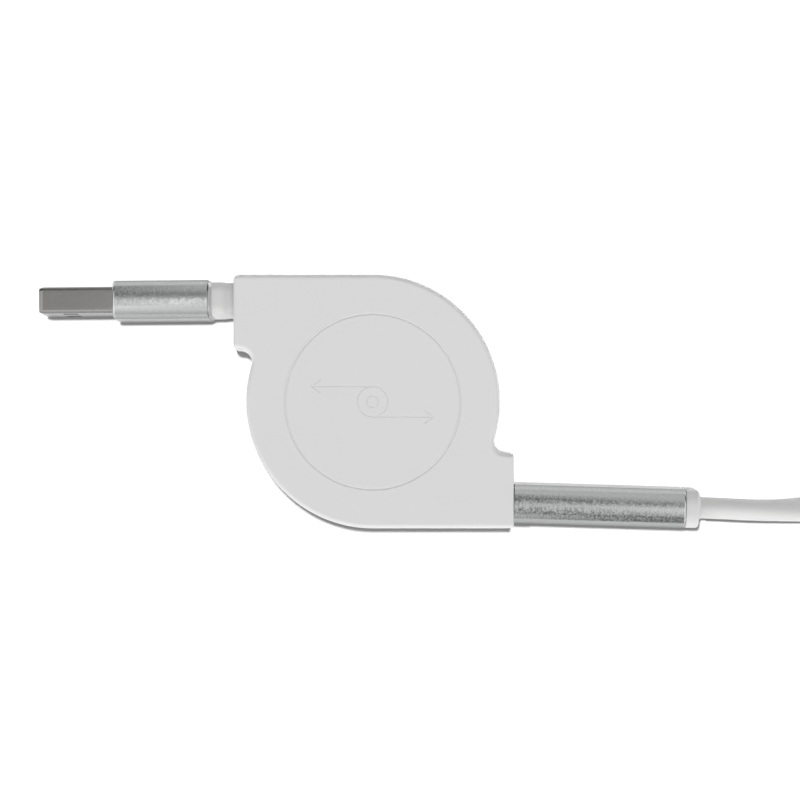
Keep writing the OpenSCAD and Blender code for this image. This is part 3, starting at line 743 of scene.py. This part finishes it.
def cover(name, flip=1):
    """One cover, from the parting line up to its face, hollow, with half of both mouths."""
    seam, draft, edge, wall = 0.12, 0.36, 0.7, 1.4
    piece = filled(name, [(px, py, MID_Z + seam) for px, py in housing_outline(flip)])
    bpy.ops.mesh.inset(thickness=draft, depth=HOUSING_T / 2 - edge - seam)
    steps = 6
    for k in range(steps):
        a, b = math.pi / 2 * k / steps, math.pi / 2 * (k + 1) / steps
        bpy.ops.mesh.inset(
            thickness=edge * (math.cos(a) - math.cos(b)),
            depth=edge * (math.sin(b) - math.sin(a)),
        )
    select(piece, "EDGE", lambda e: e.is_boundary)
    bpy.ops.mesh.edge_face_add()
    bpy.ops.mesh.select_all(action="SELECT")
    bpy.ops.mesh.normals_make_consistent(inside=False)
    select(piece, "FACE", lambda f: is_end(f) and f.calc_center_median().z < MID_Z + 1)
    bpy.ops.mesh.inset(thickness=seam, depth=seam)
    outward()
    # the junction's ear ends in an upright wall, so that its docked sleeve sits close to it
    pull, rise, nearby = 0.85, 2.2, 2.1
    for vertex in piece.data.vertices:
        inset = EAR_REACH - vertex.co.x
        height = max(0, vertex.co.z - MID_Z) / (HOUSING_T - MID_Z)
        vertex.co.x += pull * inset * min(1, rise * height) * smoothstep(nearby - inset)

    depth = HOUSING_T - wall - MID_Z
    bpy.ops.mesh.primitive_cylinder_add(
        vertices=144, radius=REEL_R - wall, depth=2 * depth, location=(0, 0, MID_Z)
    )
    tools = [bpy.context.object]
    mouth_t, mouth_w = 6.1, 12.5
    for side in (-1, 1):
        size = (EAR_REACH - wall, REEL_R - EAR_BOTTOM - 2 * wall, 2 * depth - 0.02)
        middle_y = -side * flip * (EAR_BOTTOM + REEL_R) / 2
        tools.append(block(size, (side * (EAR_REACH - wall) / 2, middle_y, MID_Z)))
        ends = (side * (EAR_REACH - 2.4), side * (EAR_REACH + 2))
        mouth = bar("mouth", [(x, mouth_t, mouth_w) for x in ends], r=1.65)
        mouth.location = (0, -side * flip * MOUTH_Y, MID_Z)
        tools.append(mouth)
    return cut(piece, *tools)


front = cover("front_cover_skin")
back = cover("back_cover_skin", flip=-1)
print("covers:", len(front.data.polygons), len(back.data.polygons), "faces before the groove")

# %% [markdown]
# The front face carries a fine round groove, and inside it a small sunk figure. The figure here
# is a plain one of its own: a reel drawn as two circles, with a line to each side and an arrow at
# the end of each. Both are cut with thin rings and rods laid half into the face.


# %% Ring groove and the small figure
def groove_ring(radius, half_width, turns, lift=0.0):
    """A ring that cuts a round groove in the face."""
    bpy.ops.mesh.primitive_torus_add(
        location=(0, 0, HOUSING_T + lift),
        major_radius=radius,
        minor_radius=half_width,
        major_segments=turns,
        minor_segments=16,
    )
    return bpy.context.object


def groove_rod(a, b, half_width):
    """A rod from a to b that cuts a straight groove in the face."""
    a, b = Vector((*a, HOUSING_T)), Vector((*b, HOUSING_T))
    bpy.ops.mesh.primitive_cylinder_add(
        vertices=16, radius=half_width, depth=(b - a).length, location=(a + b) / 2
    )
    rod = bpy.context.object
    rod.rotation_mode = "QUATERNION"
    rod.rotation_quaternion = (b - a).to_track_quat("Z", "Y")
    return rod


GROOVE_R, GROOVE_HALF, GROOVE_LIFT = 15.0, 0.24, 0.05
LINE = 0.11
ARROW_TIP, ARROW_BACK, ARROW_HALF = 10.4, 1.5, 1.1
PAST_TIP = 0.05
FIGURE_R, HUB_R = 2.6, 1.0
cut(front, groove_ring(GROOVE_R, GROOVE_HALF, 256, lift=GROOVE_LIFT))
for side in (-1, 1):
    tip, y0 = ARROW_TIP * side, -FIGURE_R * side
    shaft = groove_rod((0, y0), (tip, y0), LINE)
    barbs = [
        groove_rod((tip + PAST_TIP * side, y0), (tip - ARROW_BACK * side, y0 + half), LINE)
        for half in (ARROW_HALF, -ARROW_HALF)
    ]
    cut(front, shaft, *barbs)
cut(front, groove_ring(FIGURE_R, LINE, 96), groove_ring(HUB_R, LINE, 48))
set_down(front, HOUSING, "housing", housing_plastic, ["front_cover"], angle=28)
set_down(
    back, UPSIDE_DOWN, "housing", housing_plastic, ["back_cover"], angle=28
)

# %% [markdown]
# ## The large plug
# White mould grips the flat cable, and its neck slips into the mouth of the ear. A blasted
# aluminium sleeve is pushed over the mould, and the steel shell stands in it. The narrow side of
# the sleeve is a little crowned, which draws the bright band of the room into a soft line.

# %% Mould and sleeve of the large plug
SLEEVE_T, SLEEVE_W, SLEEVE_R, SLEEVE_WALL = 6.6, 15.4, 2.1, 0.55
CROWN = 0.006
relief = bar(
    "large_plug_mould",
    [
        (-3.2, 5.0, 11.4), (-2.9, 5.6, 12.0), (0.5, 5.6, 12.0), (1.1, 5.65, 12.5),
        (1.7, 5.8, 13.35), (3.4, 5.8, 13.4), (3.7, 6.1, 14.6), (3.97, 6.4, 15.15),
        (4.0, 5.2, 14.0), (6.8, 5.2, 14.0),
    ],
    r=1.5,
)
soften(relief, 0.08)


def two_finishes(piece, main, other, is_other):
    """Gives the faces that pass a test a finish of their own."""
    piece.data.materials.append(main)
    piece.data.materials.append(other)
    for face in piece.data.polygons:
        if is_other(face.center):
            face.material_index = 1


# painted shade: the white mould's collar just inside the sleeve's end takes a bright metal finish
# instead of its white, so that it renders darker, as shade
two_finishes(relief, white_mould, turned_lip, lambda at: 3.45 < at.x < 4.0)
set_down(relief, PLUG, "usb_a_plug", white_mould, ["usb_a_strain_relief"])

PLUG_SLEEVE = (4.0, 20.4)
PLUG_RIM = 0.38
large_sleeve = sleeve(
    "large_plug_sleeve", *PLUG_SLEEVE, SLEEVE_T, SLEEVE_W, SLEEVE_R, SLEEVE_WALL,
    (0.2, 0.4), CROWN,
)
two_finishes(large_sleeve, aluminium, cut_rim, lambda at: at.x > PLUG_SLEEVE[1] - PLUG_RIM)
set_down(
    large_sleeve, PLUG, "usb_a_plug", aluminium, ["usb_a_sleeve"], angle=40
)

# %% [markdown]
# The steel shell is folded from sheet, so its corners are tight and its mouth is drawn in a
# little. Two pairs of windows let a socket's springs latch, and the fold shows as a fine seam along
# the middle of one wide side. The photograph shows neither: they are what such a shell has.

# %% Steel shell of the large plug
SHELL = (14.45, 33.1)
SHELL_T = 4.5
WINDOW, WINDOW_BACK, WINDOW_Z = (2.5, 9, 2.2), 5.15, 2.85
SEAM, SEAM_BACK = (12.6, 0.12, 0.09), 6.2
shell = steel_shell("large_plug_shell", *SHELL, SHELL_T, 12.0, 0.6, 0.3, 0.7)
windows = [block(WINDOW, (SHELL[1] - WINDOW_BACK, 0, z)) for z in (-WINDOW_Z, WINDOW_Z)]
cut(shell, *windows, block(SEAM, (SHELL[1] - SEAM_BACK, SHELL_T / 2, 0)))
soften(shell, 0.05, angle=50)
set_down(shell, PLUG, "usb_a_plug", shell_steel, ["usb_a_shell"])

# %% [markdown]
# ## The junction
# On the other side the neck goes straight into a longer sleeve, and a white cap with a round rim
# closes it. The lead leaves the cap through a short tapered collar.

# %% Nose, sleeve and cap of the junction
nose = bar(
    "junction_mould",
    [
        (-3.2, 5.0, 11.4), (-2.9, 5.6, 12.0), (0.1, 5.6, 12.0), (0.1, 4.6, 12.0),
        (2.95, 5.3, 14.0),
    ],
    r=1.4,
)
soften(nose, 0.1)
set_down(nose, JUNCTION, "junction", white_mould, ["junction_nose"])

JUNCTION_SLEEVE = (0.01, 29.5)
JUNCTION_RIM = 0.28
long_sleeve = sleeve(
    "junction_sleeve_skin", *JUNCTION_SLEEVE, SLEEVE_T, SLEEVE_W, SLEEVE_R, SLEEVE_WALL,
    (0.06, 0.3), CROWN,
)
two_finishes(
    long_sleeve, aluminium, cut_rim, lambda at: at.x > JUNCTION_SLEEVE[1] - JUNCTION_RIM
)
set_down(
    long_sleeve, JUNCTION, "junction", aluminium, ["junction_sleeve"],
    angle=40,
)

cap = bar(
    "junction_cap_skin",
    [
        (27.5, 5.2, 14.0), (29.52, 5.2, 14.0), (29.52, 6.3, 14.8), (29.62, 6.5, 15.0),
        (31.8, 6.5, 15.0),
    ],
    r=1.9,
    crown=CROWN,
)
round_rims(cap, (31.8,), 0.6, segments=6)
collar = bar("collar", [(31.6, 4.9, 6.4), (32.5, 3.75, 5.25)], r=1.85, steps=12)
only(cap)
collar.select_set(True)
bpy.ops.object.join()
set_down(cap, JUNCTION, "junction", white_mould, ["junction_cap"])

# %% [markdown]
# ## The flat leads
# The two ends of the flat cable run from the winding to the necks, and follow the plugs when they
# are pulled out. Here each is one ribbon at rest, with many short faces along its length.


# %% Two flat ribbons
def ribbon(name, side, node):
    """The flat lead on one side, from the winding to the neck of its plug."""
    reach, slices = 20.9, 40
    bpy.ops.mesh.primitive_cube_add(size=1, location=(side * reach / 2, -side * MOUTH_Y, MID_Z))
    piece = bpy.context.object
    piece.name = name
    piece.scale = (reach - 0.3, 0.9, 5.0)
    bpy.ops.object.transform_apply(location=True, rotation=True, scale=True)
    edit(piece)
    for k in range(1, slices):
        bpy.ops.mesh.select_all(action="SELECT")
        bpy.ops.mesh.bisect(
            plane_co=(side * reach * k / slices, 0, 0), plane_no=(1, 0, 0), use_fill=False
        )
    outward()
    soften(piece, 0.3, segments=3)
    piece.matrix_world = HOUSING
    only(piece)
    bpy.ops.object.transform_apply(location=True, rotation=True, scale=True)
    bpy.ops.object.shade_smooth_by_angle(angle=math.radians(40))
    piece.data.materials.append(flat_jacket)
    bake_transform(piece)
    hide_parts(node)
    print(f"{piece.name}: {len(piece.data.polygons)} faces")


ribbon("large_plug_ribbon", -1, "usb_a_lead")
ribbon("junction_ribbon", 1, "junction_lead")

# %% [markdown]
# ## What lies inside
# The spool, its lid and spring, the latch ball, the winding and the inner pieces of the plugs and
# the junction keep their CAD meshes, since their shapes are right. They only need their own
# finishes.

# %% Finishes for the CAD nodes that stay
INSIDE = {
    "latch_ball": ball_steel,
    "spool": spool_plastic,
    "spring_lid": spool_plastic,
    "mainspring": spring_steel,
    "wound_cable": flat_jacket,
    "usb_a_core": white_mould,
    "usb_a_tongue": tongue_white,
    "usb_a_contacts": gold,
    "junction_core": white_mould,
    "splice_board": board_green,
    "device_core": white_mould,
    "device_insulator": insulator,
    "device_contacts": gold,
}
for node, finish in INSIDE.items():
    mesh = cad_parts[node].data
    mesh.materials.clear()
    mesh.materials.append(finish)
print("CAD nodes with finishes:", len(INSIDE))
